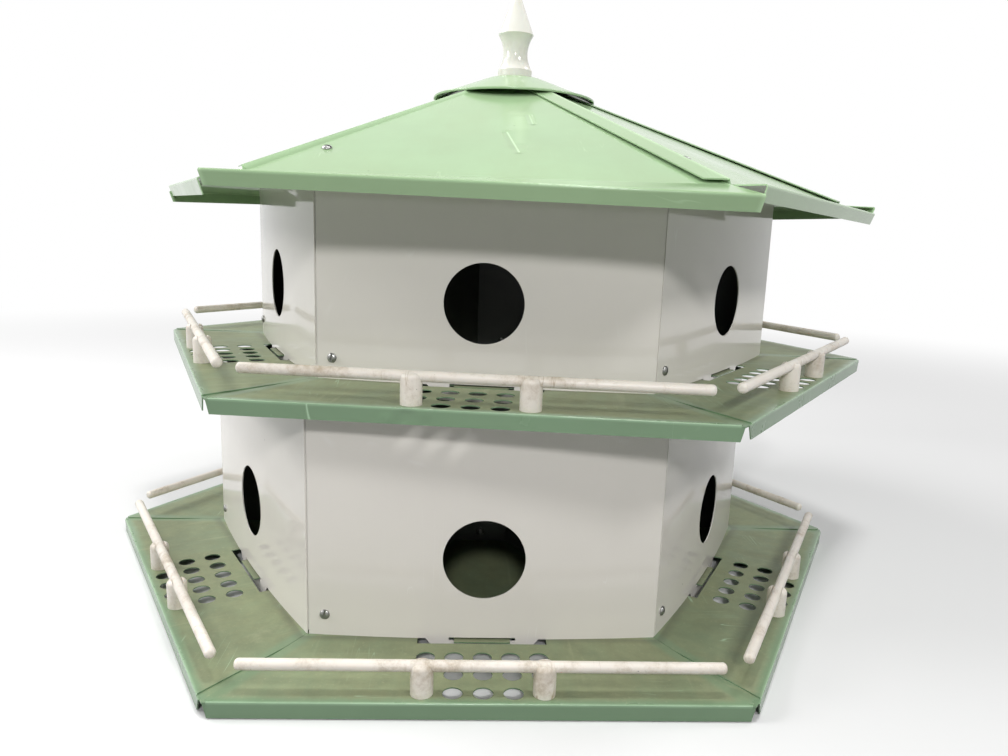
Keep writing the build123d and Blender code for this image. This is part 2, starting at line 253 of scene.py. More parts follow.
class Nodes:
    """Adds and links the nodes of one material or node group."""

    def __init__(self, tree):
        self.tree = tree

    def add(self, kind, **settings):
        """Adds a node with its settings."""
        node = self.tree.nodes.new(kind)
        for name, value in settings.items():
            setattr(node, name, value)
        return node

    def feed(self, socket, value):
        """Links an output to a socket, or sets the socket's value."""
        if isinstance(value, bpy.types.NodeSocket):
            self.tree.links.new(value, socket)
        elif socket.type == "RGBA" and len(value) == 3:
            socket.default_value = (*value, 1.0)
        else:
            socket.default_value = value

    def maths(self, operation, first, second=0.0, clamp=False):
        """The result of one sum."""
        node = self.add("ShaderNodeMath", operation=operation, use_clamp=clamp)
        self.feed(node.inputs[0], first)
        self.feed(node.inputs[1], second)
        return node.outputs[0]

    def vector_maths(self, operation, first, second):
        """The vector or number that one sum of two vectors gives."""
        node = self.add("ShaderNodeVectorMath", operation=operation)
        self.feed(node.inputs[0], first)
        self.feed(node.inputs[1], second)
        return node.outputs["Value" if operation in ("DOT_PRODUCT", "DISTANCE") else "Vector"]

    def span(self, value, low, high, new_low=0.0, new_high=1.0):
        """A value moved smoothly from one range to another and held inside it."""
        node = self.add("ShaderNodeMapRange", interpolation_type="SMOOTHSTEP")
        for socket, number in zip(node.inputs, (value, low, high, new_low, new_high)):
            self.feed(socket, number)
        return node.outputs[0]

    def band(self, value, middle, width):
        """1 where a value is at the middle, fading to 0 at a width from it."""
        away = self.maths("ABSOLUTE", self.maths("SUBTRACT", value, middle))
        return self.span(away, 0.0, width, 1.0, 0.0)

    def noise(self, vector, scale, detail, roughness, seed):
        """Noise over space; the seed moves it to another place."""
        node = self.add("ShaderNodeTexNoise", noise_dimensions="4D")
        values = {"Vector": vector, "W": seed, "Scale": scale, "Detail": detail, "Roughness": roughness}
        for name, value in values.items():
            self.feed(node.inputs[name], value)
        return node.outputs["Fac"]

    def drawn_noise(self, vector, size, turn, detail, roughness, seed):
        """Noise drawn out into streaks: its scale along each axis, and how many degrees it is turned."""
        node = self.add("ShaderNodeMapping")
        self.feed(node.inputs["Vector"], vector)
        node.inputs["Rotation"].default_value = [math.radians(angle) for angle in turn]
        node.inputs["Scale"].default_value = size
        return self.noise(node.outputs[0], 1.0, detail, roughness, seed)

    def mixed(self, numbers, values, **settings):
        """Feeds a mix node's sockets, which go by number, and gives its result."""
        node = self.add("ShaderNodeMix", **settings)
        sockets, result = numbers
        for number, value in zip(sockets, values):
            self.feed(node.inputs[number], value)
        return node.outputs[result]

    def mix(self, share, first, second):
        """Two colours mixed by a share."""
        return self.mixed(COLOUR_MIX, (share, first, second), data_type="RGBA")

    def tint(self, colour, factor):
        """A colour made darker or lighter by a factor."""
        return self.mixed(COLOUR_MIX, (1.0, colour, factor), data_type="RGBA", blend_type="MULTIPLY")

    def between(self, share, first, second):
        """Two numbers mixed by a share."""
        return self.mixed(NUMBER_MIX, (share, first, second), data_type="FLOAT")

    def from_side(self, vector, centre, turn):
        """Coordinates that start at a storey's middle and turn with one of its sides, outward being -Y."""
        node = self.add("ShaderNodeMapping", vector_type="TEXTURE")
        self.feed(node.inputs["Vector"], vector)
        node.inputs["Location"].default_value = centre
        node.inputs["Rotation"].default_value = (0.0, 0.0, turn)
        return node.outputs[0]

    def axes(self, vector):
        """The X, Y and Z of a vector."""
        node = self.add("ShaderNodeSeparateXYZ")
        self.feed(node.inputs[0], vector)
        return node.outputs

    def facing_up(self):
        """How far the surface looks up: 1 on level faces, 0 on walls and undersides."""
        normal = self.add("ShaderNodeNewGeometry").outputs["Normal"]
        return self.span(self.axes(normal)["Z"], 0.45, 0.85)

    def facing_along(self, direction):
        """1 where the surface looks along a direction, 0 where it looks across it or the other way."""
        normal = self.add("ShaderNodeNewGeometry").outputs["Normal"]
        return self.span(self.vector_maths("DOT_PRODUCT", normal, direction), 0.15, 0.45)

    def effect(self, make, **values):
        """Places a shared effect, made at its first use, and feeds its inputs."""
        tree = bpy.data.node_groups.get(make.__name__) or make()
        node = self.add("ShaderNodeGroup", node_tree=tree)
        for name, value in values.items():
            self.feed(node.inputs[name], value)
        return node.outputs


def new_group(name, inputs, outputs):
    """An empty node group with named sockets: its tree, helper, inputs and outputs."""
    tree = bpy.data.node_groups.new(name, "ShaderNodeTree")
    for label, default in inputs.items():
        kind = "NodeSocketVector" if default is None else "NodeSocketFloat"
        socket = tree.interface.new_socket(name=label, in_out="INPUT", socket_type=kind)
        if default is not None:
            socket.default_value = default
    for label in outputs:
        tree.interface.new_socket(name=label, in_out="OUTPUT", socket_type="NodeSocketFloat")
    nodes = Nodes(tree)
    return tree, nodes, nodes.add("NodeGroupInput").outputs, nodes.add("NodeGroupOutput").inputs


# Effects that several finishes share


def settled_dust():
    """Thin dust on faces that look up."""
    inputs = {"Place": None, "Amount": 0.5, "Seed": 0.0}
    tree, nodes, given, made = new_group("settled_dust", inputs, ("Mask",))
    place, amount, seed = given["Place"], given["Amount"], given["Seed"]
    broad = nodes.noise(place, 9.0, 5.0, 0.62, seed)
    streaks = nodes.drawn_noise(place, (34.0, 10.0, 16.0), (0, 0, 24), 4.0, 0.6, seed)
    patchy = nodes.between(0.4, broad, streaks)
    cover = nodes.maths("MULTIPLY", nodes.span(patchy, 0.38, 0.62), nodes.facing_up())
    nodes.feed(made["Mask"], nodes.maths("MULTIPLY", cover, amount, clamp=True))
    return tree


def porch_dust():
    """Dust on one deck segment: thick in its field, thin at its outer bend and seams, and wiped in places;
    darker at the wall's foot, where painted shade lies with the dust.
    """
    inputs = {"Local": None, "Reach": 0.278, "Foot": 0.205, "Seed": 0.0}
    tree, nodes, given, made = new_group("porch_dust", inputs, ("Dust", "Wipes", "Foot dust and shade", "Shade"))
    local, seed = given["Local"], given["Seed"]
    axes = nodes.axes(local)
    level = nodes.facing_up()
    fine = nodes.noise(local, 75.0, 4.0, 0.65, seed)

    inward = nodes.maths("ADD", axes["Y"], given["Reach"])
    half_side = nodes.maths("MULTIPLY", axes["Y"], -math.tan(SIDE_ANGLE / 2))
    beside = nodes.maths("SUBTRACT", half_side, nodes.maths("ABSOLUTE", axes["X"]))
    ragged = nodes.maths("MULTIPLY", fine, 8.0 * MM)
    rim = nodes.span(nodes.maths("SUBTRACT", inward, ragged), -3.0 * MM, 4.0 * MM, 0.15, 1.0)
    seam = nodes.span(beside, 4.0 * MM, 11.0 * MM, 0.45, 1.0)

    broad = nodes.noise(local, 11.0, 6.0, 0.68, seed)
    brushed = nodes.drawn_noise(local, (70.0, 22.0, 40.0), (0, 0, 20), 4.0, 0.65, seed)
    cover = nodes.span(nodes.between(0.4, broad, brushed), 0.36, 0.60, 0.70, 1.0)

    smudge = nodes.span(nodes.noise(local, 17.0, 8.0, 0.76, nodes.maths("ADD", seed, 4.0)), 0.57, 0.70)
    grit = nodes.span(nodes.noise(local, 380.0, 2.0, 0.6, seed), 0.58, 0.72)
    curl = nodes.band(nodes.noise(local, 46.0, 1.5, 0.5, nodes.maths("ADD", seed, 5.0)), 0.5, 0.03)
    curl_area = nodes.span(nodes.noise(local, 12.0, 3.0, 0.6, nodes.maths("ADD", seed, 6.0)), 0.56, 0.68)
    pale_mark = nodes.span(nodes.drawn_noise(local, (90.0, 9.0, 9.0), (0, 0, 62), 3.0, 0.6, seed), 0.60, 0.72)
    curls = nodes.maths("MULTIPLY", nodes.maths("MULTIPLY", curl, curl_area), 0.35)
    wipes = nodes.maths("MAXIMUM", curls, nodes.maths("MULTIPLY", smudge, 0.7))
    wipes = nodes.maths("MAXIMUM", wipes, nodes.maths("MULTIPLY", pale_mark, 0.5))
    wipes = nodes.maths("MAXIMUM", wipes, nodes.maths("MULTIPLY", grit, 0.45))
    wipes = nodes.maths("MULTIPLY", wipes, level)

    dust = nodes.maths("MULTIPLY", nodes.maths("MULTIPLY", cover, rim), nodes.maths("MULTIPLY", seam, level))
    nodes.feed(made["Dust"], dust)
    nodes.feed(made["Wipes"], wipes)
    # Darker within 7 mm of a wall's foot: painted shade of the corner, with dust in it.
    from_wall = nodes.maths("SUBTRACT", nodes.maths("SUBTRACT", given["Reach"], inward), given["Foot"])
    foot = nodes.span(from_wall, 0.0, 7.0 * MM, 1.0, 0.0)
    outside = nodes.span(from_wall, -2.0 * MM, 0.0)
    nodes.feed(made["Foot dust and shade"], nodes.maths("MULTIPLY", nodes.maths("MULTIPLY", foot, outside), level))
    nodes.feed(made["Shade"], nodes.span(nodes.between(0.5, fine, broad), 0.33, 0.67, 0.78, 1.16))
    return tree


def painted_bend_highlight():
    """A painted highlight along a bend: pale near its edge, more in some lengths than in others."""
    inputs = {"Place": None, "Away": 0.0, "Width": 2.0 * MM, "Seed": 0.0}
    tree, nodes, given, made = new_group("painted_bend_highlight", inputs, ("Mask",))
    broken = nodes.span(nodes.noise(given["Place"], 24.0, 4.0, 0.6, given["Seed"]), 0.36, 0.60, 0.65, 1.0)
    near = nodes.band(given["Away"], 0.0, given["Width"])
    nodes.feed(made["Mask"], nodes.maths("MULTIPLY", near, broken))
    return tree


def dark_specks():
    """Small dark specks, each in a cell of its own; the share says how many cells have one."""
    inputs = {"Place": None, "Scale": 230.0, "Share": 0.02, "Seed": 0.0}
    tree, nodes, given, made = new_group("dark_specks", inputs, ("Mask",))
    cells = nodes.add("ShaderNodeTexVoronoi", voronoi_dimensions="4D", feature="F1")
    for name, value in (("Vector", given["Place"]), ("W", given["Seed"]), ("Scale", given["Scale"])):
        nodes.feed(cells.inputs[name], value)
    picked = nodes.maths("LESS_THAN", nodes.axes(cells.outputs["Color"])["X"], given["Share"])
    dot = nodes.span(cells.outputs["Distance"], 0.08, 0.22, 1.0, 0.0)
    nodes.feed(made["Mask"], nodes.maths("MULTIPLY", dot, picked))
    return tree


def thin_scratches():
    """Thin scratches that run in two directions, broken up along their length."""
    tree, nodes, given, made = new_group("thin_scratches", {"Place": None, "Seed": 0.0}, ("Mask",))
    place, seed = given["Place"], given["Seed"]
    masks = []
    for turn, size, extra in (((12, 8, 37), (6.0, 150.0, 6.0), 1.0), ((-9, 14, -52), (150.0, 5.0, 9.0), 2.0)):
        moved = nodes.maths("ADD", seed, extra)
        thin = nodes.band(nodes.drawn_noise(place, size, turn, 1.0, 0.4, moved), 0.5, 0.006)
        broken = nodes.span(nodes.noise(place, 16.0, 3.0, 0.6, moved), 0.56, 0.66)
        masks.append(nodes.maths("MULTIPLY", thin, broken))
    nodes.feed(made["Mask"], nodes.maths("MAXIMUM", *masks))
    return tree


def sheet_waves():
    """Gentle waves of thin sheet and the faint texture of sprayed paint, as a height in metres."""
    inputs = {"Place": None, "Wave": 0.4 * MM, "Peel": 0.0015 * MM, "Seed": 0.0}
    tree, nodes, given, made = new_group("sheet_waves", inputs, ("Height",))
    place, seed = given["Place"], given["Seed"]
    broad = nodes.noise(place, 6.0, 0.0, 0.4, seed)
    buckles = nodes.noise(place, 19.0, 0.0, 0.4, nodes.maths("ADD", seed, 4.0))
    wave = nodes.maths("ADD", broad, nodes.maths("MULTIPLY", buckles, 0.12))
    peel = nodes.noise(place, 600.0, 1.0, 0.5, nodes.maths("ADD", seed, 9.0))
    waves = nodes.maths("MULTIPLY", wave, given["Wave"])
    spray = nodes.maths("MULTIPLY", peel, given["Peel"])
    nodes.feed(made["Height"], nodes.maths("ADD", waves, spray))
    return tree


def sheet_dent():
    """A dent in a sheet, drawn out from a start to an end, as a height in metres."""
    inputs = {"Place": None, "Start": None, "End": None, "Radius": 8.0 * MM, "Depth": 0.5 * MM}
    tree, nodes, given, made = new_group("sheet_dent", inputs, ("Height",))
    offset = nodes.vector_maths("SUBTRACT", given["Place"], given["Start"])
    run = nodes.vector_maths("SUBTRACT", given["End"], given["Start"])
    along = nodes.vector_maths("DOT_PRODUCT", offset, run)
    share = nodes.maths("DIVIDE", along, nodes.vector_maths("DOT_PRODUCT", run, run), clamp=True)
    nearest = nodes.add("ShaderNodeVectorMath", operation="SCALE")
    nodes.feed(nearest.inputs[0], run)
    nodes.feed(nearest.inputs["Scale"], share)
    away = nodes.vector_maths("DISTANCE", offset, nearest.outputs[0])
    bowl = nodes.span(nodes.maths("DIVIDE", away, given["Radius"]), 0.0, 1.0, 1.0, 0.0)
    nodes.feed(made["Height"], nodes.maths("MULTIPLY", bowl, nodes.maths("MULTIPLY", given["Depth"], -1.0)))
    return tree


# Finishes


class Finish:
    """One material, with its colour, its dullness and its height built up in layers."""

    def __init__(self, name, colour, dull, seed, drift=0.05, shine=0.5):
        self.material = bpy.data.materials.new(name)
        self.material.use_nodes = True
        self.nodes = Nodes(self.material.node_tree)
        self.shader = self.material.node_tree.nodes["Principled BSDF"]
        self.shader.inputs["Specular IOR Level"].default_value = shine
        self.place = self.nodes.add("ShaderNodeTexCoord").outputs["Object"]
        self.seed = seed
        broad = self.nodes.noise(self.place, 8.0, 4.0, 0.55, seed)
        deep = [value * (1.0 - drift) for value in colour]
        light = [min(1.0, value * (1.0 + drift)) for value in colour]
        self.colour = self.nodes.mix(self.nodes.span(broad, 0.3, 0.7), deep, light)
        smear = self.nodes.noise(self.place, 18.0, 5.0, 0.65, seed + 2.0)
        self.rough = self.nodes.span(smear, 0.35, 0.75, dull, dull + 0.07)
        self.heights = []

    def cover(self, mask, colour, strength=1.0, rough=None):
        """Lays a colour, and a dullness of its own, where the mask says."""
        share = self.nodes.maths("MULTIPLY", mask, strength, clamp=True)
        self.colour = self.nodes.mix(share, self.colour, colour)
        if rough is not None:
            self.rough = self.nodes.between(share, self.rough, rough)

    def speck(self, scale, share, strength):
        """Adds small dark specks."""
        grime = bpy.context.scene.house_colours.grime
        specks = self.nodes.effect(dark_specks, Place=self.place, Scale=scale, Share=share, Seed=self.seed)
        self.cover(specks["Mask"], grime, strength)

    def scratch(self, pale, strength):
        """Adds fine pale scratches."""
        lines = self.nodes.effect(thin_scratches, Place=self.place, Seed=self.seed)
        self.cover(lines["Mask"], pale, strength)

    def rub(self, away, width, pale, strength):
        """Paints a pale highlight along a bend; away is the distance from it."""
        pale_mark = self.nodes.effect(painted_bend_highlight, Place=self.place, Away=away, Width=width, Seed=self.seed)
        self.cover(pale_mark["Mask"], pale, strength)

    def wave(self, height):
        """Adds the waves of thin sheet."""
        waves = self.nodes.effect(sheet_waves, Place=self.place, Wave=height, Seed=self.seed)
        self.heights.append(waves["Height"])

    def dent(self, dents):
        """Adds dents, each with its start and end in metres and its radius and depth in millimetres."""
        for start, end, radius, depth in dents:
            sizes = {"Radius": radius * MM, "Depth": depth * MM}
            bowl = self.nodes.effect(sheet_dent, Place=self.place, Start=start, End=end, **sizes)
            self.heights.append(bowl["Height"])

    def crease(self, crease_highlights, pale):
        """Paints pale highlights along creases; a dent's shape, raised to a height of 1, is the mask of each.
        """
        for start, end, width, strength in crease_highlights:
            sizes = {"Radius": width * MM, "Depth": -1.0}
            line = self.nodes.effect(sheet_dent, Place=self.place, Start=start, End=end, **sizes)
            self.cover(line["Height"], pale, strength)

    def done(self):
        """Links the layers to the shader and gives the material."""
        self.nodes.feed(self.shader.inputs["Base Color"], self.colour)
        self.nodes.feed(self.shader.inputs["Roughness"], self.rough)
        total = self.heights[0]
        for height in self.heights[1:]:
            total = self.nodes.maths("ADD", total, height)
        bump = self.nodes.add("ShaderNodeBump")
        bump.inputs["Strength"].default_value = 1.0
        bump.inputs["Distance"].default_value = 1.0
        self.nodes.feed(bump.inputs["Height"], total)
        self.nodes.feed(self.shader.inputs["Normal"], bump.outputs[0])
        return self.material


def paler(colour, factor=1.35, lift=0.10):
    """A paler tone of a colour."""
    return [min(1.0, value * factor + lift) for value in colour]


def roof_paint(name, side, seed, dents=(), crease_highlights=()):
    """Glossy mint paint with thin dust, specks and dents, and painted highlights along its bends and creases;
    the cap has no side.
    """
    scene = bpy.context.scene
    colours, wear, form = scene.house_colours, scene.house_wear, scene.house_form
    finish = Finish(name, colours.roof_green, DULLNESS["roof"], seed, drift=0.04, shine=0.38)
    nodes = finish.nodes
    pale = paler(colours.roof_green)
    dust = nodes.effect(settled_dust, Place=finish.place, Amount=wear.roof_dust, Seed=seed)
    finish.cover(dust["Mask"], colours.dust, rough=0.55)
    if side:
        centre, turn = side_place("upper", side)
        local = nodes.axes(nodes.from_side(finish.place, centre, turn))
        bend = nodes.maths("ADD", local["Y"], form.roof_reach)
        # Painted highlights along the eave's bend and the ridge's fold.
        finish.rub(bend, 0.9 * MM, pale, wear.rubbed_bends)
        half_side = nodes.maths("MULTIPLY", local["Y"], -math.tan(SIDE_ANGLE / 2))
        ridge = nodes.maths("SUBTRACT", half_side, nodes.maths("ABSOLUTE", local["X"]))
        finish.rub(ridge, 4.0 * MM, pale, wear.rubbed_bends)
    finish.scratch(pale, 0.5 * wear.scratches)
    # Painted highlights along the creases.
    finish.crease(crease_highlights, pale)
    finish.speck(210.0, 0.010, wear.specks)
    finish.wave(0.6 * MM)
    finish.dent(dents)
    return finish.done()


def deck_paint(name, storey, side, seed):
    """Green paint under a coat of dust that is thin at the outer bend and the seams, with painted shade at
    the wall's foot and a painted highlight along the outer bend.
    """
    scene = bpy.context.scene
    colours, wear, form = scene.house_colours, scene.house_wear, scene.house_form
    finish = Finish(name, colours.deck_green, DULLNESS["deck"], seed)
    nodes = finish.nodes
    centre, turn = side_place(storey, side)
    local = nodes.from_side(finish.place, centre, turn)
    porch = nodes.effect(porch_dust, Local=local, Reach=form.deck_reach, Foot=form.wall_reach, Seed=seed)
    dust_tone = nodes.tint(colours.dust, porch["Shade"])
    finish.cover(porch["Dust"], dust_tone, wear.deck_dust, rough=0.62)
    finish.cover(porch["Wipes"], paler(colours.dust, 1.35, 0.06), wear.deck_wipes, rough=0.50)
    # Painted shade with dust at the wall's foot, in the grime colour.
    finish.cover(porch["Foot dust and shade"], colours.grime, 0.35)
    axes = nodes.axes(local)
    inward = nodes.maths("ADD", axes["Y"], form.deck_reach)
    away = nodes.maths("ADD", nodes.maths("ABSOLUTE", inward), nodes.maths("ABSOLUTE", axes["Z"]))
    # Painted highlight along the deck's outer bend.
    finish.rub(away, 2.2 * MM, paler(colours.deck_green, 1.8, 0.12), wear.rubbed_bends)
    finish.scratch(paler(colours.deck_green, 1.8, 0.16), 1.3 * wear.scratches)
    finish.speck(260.0, 0.012, wear.specks)
    finish.wave(0.25 * MM)
    finish.dent(DENTS.get(f"{storey}_deck_{side}", ()))
    return finish.done()


def wall_paint(name, storey, side, seed):
    """White gloss paint outside; inside, a back coat made dark grey as painted shade of the rooms."""
    scene = bpy.context.scene
    colours, wear = scene.house_colours, scene.house_wear
    finish = Finish(name, colours.wall_white, DULLNESS["wall"], seed, drift=0.02, shine=0.35)
    nodes = finish.nodes
    finish.scratch(paler(colours.wall_white), 0.4 * wear.scratches)
    finish.speck(190.0, 0.006, wear.specks)
    _, _, outward = side_axes(storey, side)
    # Inner faces: back coat, darkened as painted shade of the rooms.
    finish.cover(nodes.facing_along(-outward), colours.back_coat, rough=0.45)
    finish.wave(0.4 * MM)
    return finish.done()


def inner_shade_coat(name, seed):
    """A dull dark grey coat with a little dust; its darkness is painted shade of the rooms."""
    colours = bpy.context.scene.house_colours
    finish = Finish(name, colours.inner_grey, DULLNESS["inner"], seed, drift=0.08)
    dust = finish.nodes.effect(settled_dust, Place=finish.place, Amount=0.5, Seed=seed)
    finish.cover(dust["Mask"], colours.dust, rough=0.8)
    finish.speck(160.0, 0.02, 0.4)
    finish.wave(0.3 * MM)
    return finish.done()


def moulded_plastic(name, colour, seed, stain, dull):
    """Off-white moulded plastic with brown smears and specks ground into it."""
    scene = bpy.context.scene
    colours, wear = scene.house_colours, scene.house_wear
    finish = Finish(name, colour, dull, seed)
    nodes = finish.nodes
    smears = nodes.noise(finish.place, 27.0, 8.0, 0.76, seed + 3.0)
    grain = nodes.noise(finish.place, 260.0, 3.0, 0.6, seed + 4.0)
    smeared = nodes.maths("MULTIPLY", nodes.span(smears, 0.46, 0.66), nodes.span(grain, 0.3, 0.7, 0.5, 1.0))
    finish.cover(smeared, colours.stain, stain, rough=dull + 0.2)
    finish.scratch(colours.stain, stain)
    finish.speck(480.0, 0.05 * stain, wear.specks)
    finish.speck(300.0, 0.03 * stain, wear.specks)
    finish.heights.append(nodes.maths("MULTIPLY", grain, 0.006 * MM))
    finish.shader.inputs["Subsurface Weight"].default_value = 0.08
    finish.shader.inputs["Subsurface Radius"].default_value = (4.0 * MM, 3.0 * MM, 2.0 * MM)
    finish.shader.inputs["Subsurface Scale"].default_value = 1.0
    return finish.done()


def plated_steel(name, seed):
    """Dull zinc plating with handling marks."""
    colour = bpy.context.scene.house_colours.zinc
    finish = Finish(name, colour, DULLNESS["zinc"], seed)
    nodes = finish.nodes
    drift = nodes.noise(finish.place, 420.0, 4.0, 0.6, seed)
    finish.cover(nodes.span(drift, 0.45, 0.75), [value * 0.5 for value in colour], rough=0.5)
    finish.heights.append(nodes.maths("MULTIPLY", drift, 0.01 * MM))
    finish.shader.inputs["Metallic"].default_value = 0.9
    return finish.done()


# The house


def side_place(storey, side):
    """Where a storey's middle meets its deck, and how far the given side is turned from the front."""
    low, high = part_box(storey + "_core")
    centre = Vector(((low.x + high.x) / 2, (low.y + high.y) / 2, low.z))
    turn = SIDE_ANGLE * SIDE_NAMES.index(side)
    if storey == "upper":
        turn += bpy.context.scene.house_form.upper_turn
    return centre, turn


def side_axes(storey, side):
    """A storey's middle, and one side's way to its right and its way outward."""
    centre, turn = side_place(storey, side)
    along = Vector((math.cos(turn), math.sin(turn), 0.0))
    outward = Vector((math.sin(turn), -math.cos(turn), 0.0))
    return centre, along, outward


def sheet_seed(finish, row, k):
    """The noise seed of one sheet, from its storey's row and its side's number, so that no two look alike."""
    start, by_storey, by_side = SHEET_SEEDS[finish]
    return start + by_storey * row + by_side * k


def dress(name, material):
    """Gives a CAD node a material in all its slots."""
    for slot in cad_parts[name].material_slots:
        slot.material = material


def nodes_named(*words):
    """The CAD nodes whose names hold one of the words."""
    names = [name for name in sorted(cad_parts) if any(word in name for word in words)]
    if not names:
        raise RuntimeError(f"the frame has no node named like {words}")
    return names


def sheet_point(name, start, way):
    """The first point of a CAD node that a straight line meets, and the outward direction there."""
    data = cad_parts[name].data
    tree = BVHTree.FromPolygons([v.co for v in data.vertices], [tuple(p.vertices) for p in data.polygons])
    point, normal, _, _ = tree.ray_cast(start, way)
    if point is None:
        raise RuntimeError(f"{name} has no sheet where its screw belongs")
    return point, normal


# Screws


def turned_form(mesh, points):
    """Spins an outline of (radius, height) points round Z."""
    verts = [mesh.verts.new((radius, 0.0, height)) for radius, height in points]
    edges = [mesh.edges.new(pair) for pair in zip(verts, verts[1:])]
    bmesh.ops.spin(
        mesh,
        geom=verts + edges,
        cent=(0, 0, 0),
        axis=(0, 0, 1),
        dvec=(0, 0, 0),
        angle=math.tau,
        steps=HEAD_STEPS,
        use_merge=True,
        use_duplicate=False,
    )
    bmesh.ops.remove_doubles(mesh, verts=mesh.verts, dist=MERGE_DISTANCE)
    bmesh.ops.recalc_face_normals(mesh, faces=mesh.faces)


def screw_head(sizes):
    """One domed slotted head, its face up and its seat at z = 0."""
    mesh = bmesh.new()
    radius, height = sizes.head_diameter / 2, sizes.head_height
    outline = [(0.0, height)]
    for step in range(1, DOME_STEPS + 1):
        angle = math.radians(90 * step / DOME_STEPS)
        rise = RIM_SHARE + (1.0 - RIM_SHARE) * math.cos(angle)
        outline.append((radius * math.sin(angle), height * rise))
    outline += [(radius * 0.97, 0.0), (radius * 0.5, -HEAD_SINK), (0.0, -HEAD_SINK)]
    turned_form(mesh, outline)
    cut_slot(mesh, sizes.slot_width / 2, height - sizes.slot_depth)
    return mesh


def cut_slot(mesh, half_width, floor):
    """Sinks a straight slot across the top of the head, along Y."""
    for x in (-half_width, half_width):
        geometry = list(mesh.verts) + list(mesh.edges) + list(mesh.faces)
        bmesh.ops.bisect_plane(
            mesh, geom=geometry, plane_co=(x, 0, 0), plane_no=(1, 0, 0), dist=CUT_TOLERANCE
        )
    inside = []
    for face in mesh.faces:
        middle = face.calc_center_median()
        if abs(middle.x) < half_width and middle.z > floor * 0.6:
            inside.append(face)
    sunk = bmesh.ops.extrude_face_region(mesh, geom=inside)
    bmesh.ops.delete(mesh, geom=inside, context="FACES")
    for item in sunk["geom"]:
        if isinstance(item, bmesh.types.BMVert):
            item.co.z = min(item.co.z, floor)
    bmesh.ops.remove_doubles(mesh, verts=mesh.verts, dist=MERGE_DISTANCE)
    bmesh.ops.recalc_face_normals(mesh, faces=mesh.faces)


def placed_copies(name, form, places, material):
    """Joins one copy of a form for each place into a named piece that rides on the house."""
    if not places:
        raise RuntimeError(f"{name} has no places")
    single = bpy.data.meshes.new(name + "_form")
    form.to_mesh(single)
    whole = bmesh.new()
    for place in places:
        before = set(whole.verts)
        whole.from_mesh(single)
        bmesh.ops.transform(whole, matrix=place, verts=[v for v in whole.verts if v not in before])
    mesh = bpy.data.meshes.new(name)
    whole.to_mesh(mesh)
    whole.free()
    bpy.data.meshes.remove(single)
    for polygon in mesh.polygons:
        polygon.use_smooth = True
    mesh.set_sharp_from_angle(angle=SHARP_EDGE)
    mesh.materials.append(material)
    piece = bpy.data.objects.new(name, mesh)
    bpy.context.scene.collection.objects.link(piece)
    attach(piece, "root")


def facing(point, outward, spin):
    """The transform that sets a form's +Z on a surface's outward direction, turned by some degrees."""
    turn = outward.to_track_quat("Z", "Y").to_matrix().to_4x4()
    return Matrix.Translation(point) @ turn @ Matrix.Rotation(math.radians(spin), 4, "Z")


def wall_screw_places(sizes):
    """Where the screw at the left-hand foot of each wall stands."""
    places = []
    for storey in STOREYS:
        for k, side in enumerate(SIDE_NAMES):
            centre, along, outward = side_axes(storey, side)
            start = centre - along * sizes.wall_inset + outward + Vector((0, 0, sizes.wall_rise))
            point, normal = sheet_point(f"{storey}_wall_{side}", start, -outward)
            places.append(facing(point, normal, WALL_SLOT_TURNS[k % len(WALL_SLOT_TURNS)]))
    return places


def roof_screw_places(sizes):
    """Where the screw beside the left-hand ridge of each roof panel stands."""
    places = []
    for k, side in enumerate(SIDE_NAMES):
        centre, along, outward = side_axes("upper", side)
        start = centre - along * sizes.roof_inset + outward * sizes.roof_reach + Vector((0, 0, 1))
        point, normal = sheet_point(f"roof_panel_{side}", start, Vector((0, 0, -1)))
        places.append(facing(point, normal, ROOF_SLOT_TURNS[k]))
    return places


def core_screw_places(sizes):
    """Where the screw at the foot of each core stands, in the middle of its front."""
    places = []
    for storey in STOREYS:
        centre, _, outward = side_axes(storey, "front")
        start = centre + outward + Vector((0, 0, sizes.core_rise))
        point, normal = sheet_point(storey + "_core", start, -outward)
        places.append(facing(point, normal, CORE_SLOT_TURN))
    return places


# Operators


class PaintRoof(bpy.types.Operator):
    """Gives the roof panels and the cap their mint paint"""

    bl_idname = "martin_house.paint_roof"
    bl_label = "Paint the roof"

    def execute(self, context):
        sizes = context.scene.house_screws
        dimples = roof_screw_places(sizes)
        for k, side in enumerate(SIDE_NAMES):
            name = f"roof_panel_{side}"
            screw = dimples[k].translation
            dimple = (screw, screw, sizes.dimple_radius / MM, sizes.dimple_depth / MM)
            dents = (dimple, *DENTS.get(name, ()))
            seed = sheet_seed("roof", 0, k)
            dress(name, roof_paint(f"{name}_paint", side, seed, dents, CREASE_HIGHLIGHTS.get(name, ())))
        dress("roof_cap", roof_paint("cap_paint", None, SEEDS["cap"]))
        return {"FINISHED"}


class PaintDecks(bpy.types.Operator):
    """Gives the porch decks green paint under a coat of dust"""

    bl_idname = "martin_house.paint_decks"
    bl_label = "Paint the decks"

    def execute(self, context):
        for row, storey in enumerate(STOREYS):
            for k, side in enumerate(SIDE_NAMES):
                name = f"{storey}_deck_{side}"
                dress(name, deck_paint(f"{name}_paint", storey, side, sheet_seed("deck", row, k)))
        return {"FINISHED"}


class PaintWalls(bpy.types.Operator):
    """Gives the outer walls their white gloss paint"""

    bl_idname = "martin_house.paint_walls"
    bl_label = "Paint the walls"

    def execute(self, context):
        for row, storey in enumerate(STOREYS):
            for k, side in enumerate(SIDE_NAMES):
                name = f"{storey}_wall_{side}"
                dress(name, wall_paint(f"{name}_paint", storey, side, sheet_seed("wall", row, k)))
        return {"FINISHED"}


class PaintInside(bpy.types.Operator):
    """Gives the partitions and the cores a dark grey coat, painted shade of the rooms"""

    bl_idname = "martin_house.paint_inside"
    bl_label = "Paint the inside"

    def execute(self, context):
        coat = inner_shade_coat("inner_shade_coat", SEEDS["inner"])
        for name in nodes_named("_partitions", "_core"):
            dress(name, coat)
        return {"FINISHED"}


